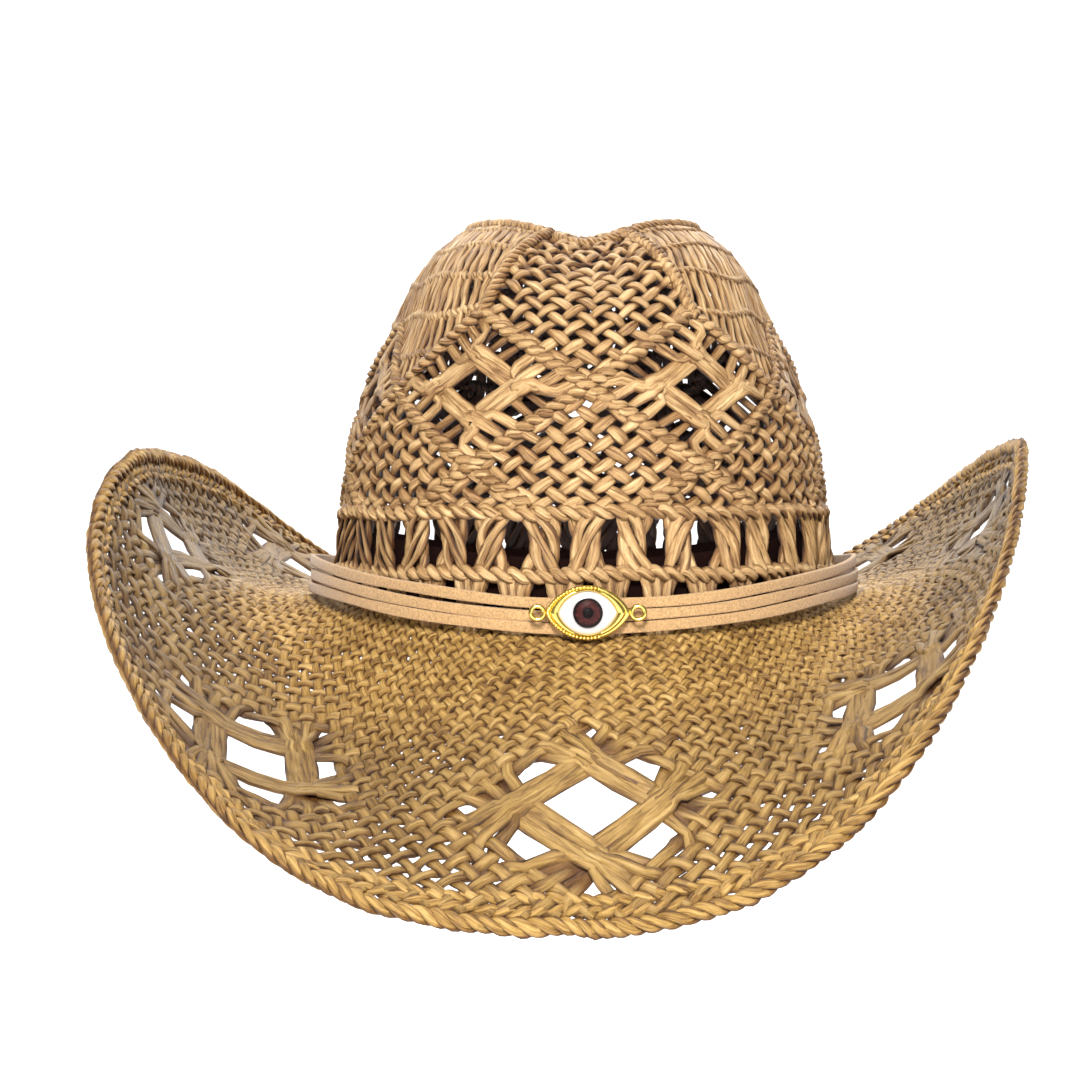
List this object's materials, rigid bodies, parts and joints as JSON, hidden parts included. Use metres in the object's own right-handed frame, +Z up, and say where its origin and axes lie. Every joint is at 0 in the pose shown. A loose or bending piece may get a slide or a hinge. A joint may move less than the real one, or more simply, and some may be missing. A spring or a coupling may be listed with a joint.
{
  "type": "cowboy hat",
  "caption": "Open-weave straw-look cowboy hat with a creased crown, windowed courses, a curled brim with a bound edge, a suede lace band and a gold eye charm.",
  "frame": {"origin": "centre of the head opening, level with the fold between crown and brim at the hat's two sides", "axes": "+Z up through the crown, the hat faces -Y, +X is to the right of someone facing the hat"},
  "size_m": [0.3063, 0.3618, 0.2146],
  "materials": {
    "straw_crown": "matte twisted paper cord",
    "straw_brim": "matte twisted paper cord, slightly glazed",
    "suede": "napped suede",
    "elastic": "ribbed elastic",
    "thread": "twisted thread",
    "wire": "drawn",
    "gold": "polished gold plating",
    "glue": "cured adhesive",
    "enamel": "pearly enamel",
    "iris": "gloss enamel",
    "pupil": "gloss enamel",
    "dome": "clear resin dome"
  },
  "bodies": {
    "root": {"crown_weave": "straw_crown", "crown_tip_weave": "straw_crown", "twined_row_lower": "straw_crown", "twined_row_upper": "straw_crown", "post_course_short": "straw_crown", "post_course_tall": "straw_crown", "brim_inner_weave": "straw_brim", "brim_outer_weave": "straw_brim", "brim_binding": "straw_brim", "brim_wire": "wire", "sweatband": "elastic", "sweatband_stitching": "thread", "lace_upper": "suede", "lace_middle": "suede", "lace_lower": "suede", "lace_keeper": "suede", "charm_glue_pad": "glue", "charm_bezel": "gold", "charm_sclera": "enamel", "charm_iris": "iris", "charm_pupil": "pupil", "charm_cornea": "dome"}
  },
  "joints": []
}
